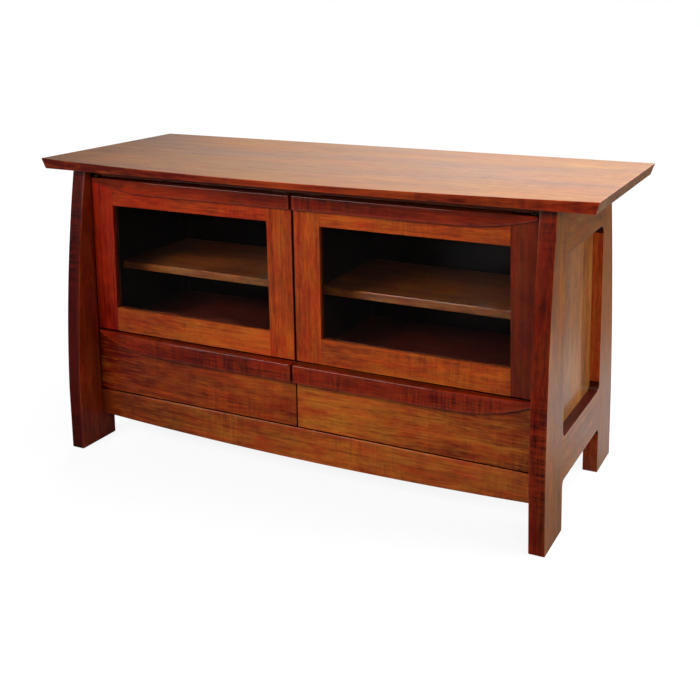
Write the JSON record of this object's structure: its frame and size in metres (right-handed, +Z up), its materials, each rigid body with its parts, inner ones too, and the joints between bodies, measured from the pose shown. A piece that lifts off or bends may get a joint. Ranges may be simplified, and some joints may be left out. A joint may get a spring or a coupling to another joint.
{
  "type": "tv stand",
  "caption": "Wooden tv stand with leaning curved-leg side frames, a wide overhanging top, glass-panelled doors over drawers, and long sweeping pulls.",
  "frame": {"origin": "on the floor, under the middle of the feet's outline", "axes": "+X to the viewer's right along the width, +Y to the back, +Z up; doors and drawers face -Y"},
  "size_m": [1.411, 0.6035, 0.765],
  "materials": {
    "case_wood": "stained and lacquered, satin",
    "leg_wood": "stained and lacquered, satin",
    "top_wood": "stained and lacquered, glossy",
    "panel_wood": "stained and lacquered, satin",
    "shelf_wood": "stained and lacquered, satin",
    "inside_wood": "stained and lacquered, satin",
    "door_wood": "stained and lacquered, satin",
    "pull_wood": "stained and lacquered, satin",
    "drawer_wood": "stained and lacquered, satin",
    "drawer_box_wood": "stained and lacquered, satin",
    "glass": "clear pane, dark inside",
    "steel": "zinc plated",
    "catch_plastic": "moulded"
  },
  "bodies": {
    "case": {"top_panel": "top_wood", "left_front_leg": "leg_wood", "right_front_leg": "leg_wood", "left_back_leg": "leg_wood", "right_back_leg": "leg_wood", "left_side_top_rail": "case_wood", "right_side_top_rail": "case_wood", "left_side_bottom_rail": "case_wood", "right_side_bottom_rail": "case_wood", "left_side_panel": "panel_wood", "right_side_panel": "panel_wood", "front_top_rail": "case_wood", "front_bottom_rail": "case_wood", "back_top_rail": "case_wood", "back_panel": "inside_wood", "compartment_floor": "inside_wood", "case_bottom": "inside_wood", "center_partition": "inside_wood", "drawer_divider": "inside_wood", "left_shelf": "shelf_wood", "right_shelf": "shelf_wood", "shelf_pins": "steel", "pivot_plates": "steel", "drawer_slide_rails": "steel", "door_catches": "catch_plastic"},
    "left_door": {"left_door_hinge_stile": "door_wood", "left_door_meeting_stile": "door_wood", "left_door_top_rail": "door_wood", "left_door_bottom_rail": "door_wood", "left_door_glass": "glass", "left_door_glass_beads": "door_wood", "left_door_pull": "pull_wood", "left_door_pivot_sockets": "steel", "left_door_strike_plate": "steel"},
    "left_drawer": {"left_drawer_front": "drawer_wood", "left_drawer_pull": "pull_wood", "left_drawer_left_side": "drawer_box_wood", "left_drawer_right_side": "drawer_box_wood", "left_drawer_back": "drawer_box_wood", "left_drawer_bottom": "drawer_box_wood", "left_drawer_slide_runners": "steel"},
    "left_drawer_slide_middles": {"left_drawer_slide_middles": "steel"},
    "right_door": {"right_door_hinge_stile": "door_wood", "right_door_meeting_stile": "door_wood", "right_door_top_rail": "door_wood", "right_door_bottom_rail": "door_wood", "right_door_glass": "glass", "right_door_glass_beads": "door_wood", "right_door_pull": "pull_wood", "right_door_pivot_sockets": "steel", "right_door_strike_plate": "steel"},
    "right_drawer": {"right_drawer_front": "drawer_wood", "right_drawer_pull": "pull_wood", "right_drawer_left_side": "drawer_box_wood", "right_drawer_right_side": "drawer_box_wood", "right_drawer_back": "drawer_box_wood", "right_drawer_bottom": "drawer_box_wood", "right_drawer_slide_runners": "steel"},
    "right_drawer_slide_middles": {"right_drawer_slide_middles": "steel"}
  },
  "joints": [
    {"name": "left_door_hinge", "type": "hinge", "parent": "case", "child": "left_door", "pos_m": [-0.56812, -0.205, 0.3215], "axis": [0, 0, -1], "range_deg": [0, 95]},
    {"name": "right_door_hinge", "type": "hinge", "parent": "case", "child": "right_door", "pos_m": [0.56812, -0.205, 0.3215], "axis": [0, 0, 1], "range_deg": [0, 95]},
    {"name": "left_drawer_slide", "type": "slide", "parent": "case", "child": "left_drawer", "axis": [0, -1, 0], "range_m": [0, 0.36]},
    {"name": "left_slide_middle_travel", "type": "slide", "parent": "case", "child": "left_drawer_slide_middles", "axis": [0, -1, 0], "range_m": [0, 0.18]},
    {"name": "right_drawer_slide", "type": "slide", "parent": "case", "child": "right_drawer", "axis": [0, -1, 0], "range_m": [0, 0.36]},
    {"name": "right_slide_middle_travel", "type": "slide", "parent": "case", "child": "right_drawer_slide_middles", "axis": [0, -1, 0], "range_m": [0, 0.18]}
  ],
  "couplings": [
    {"joint": "left_slide_middle_travel", "follows": "left_drawer_slide", "ratio": 0.5},
    {"joint": "right_slide_middle_travel", "follows": "right_drawer_slide", "ratio": 0.5}
  ]
}
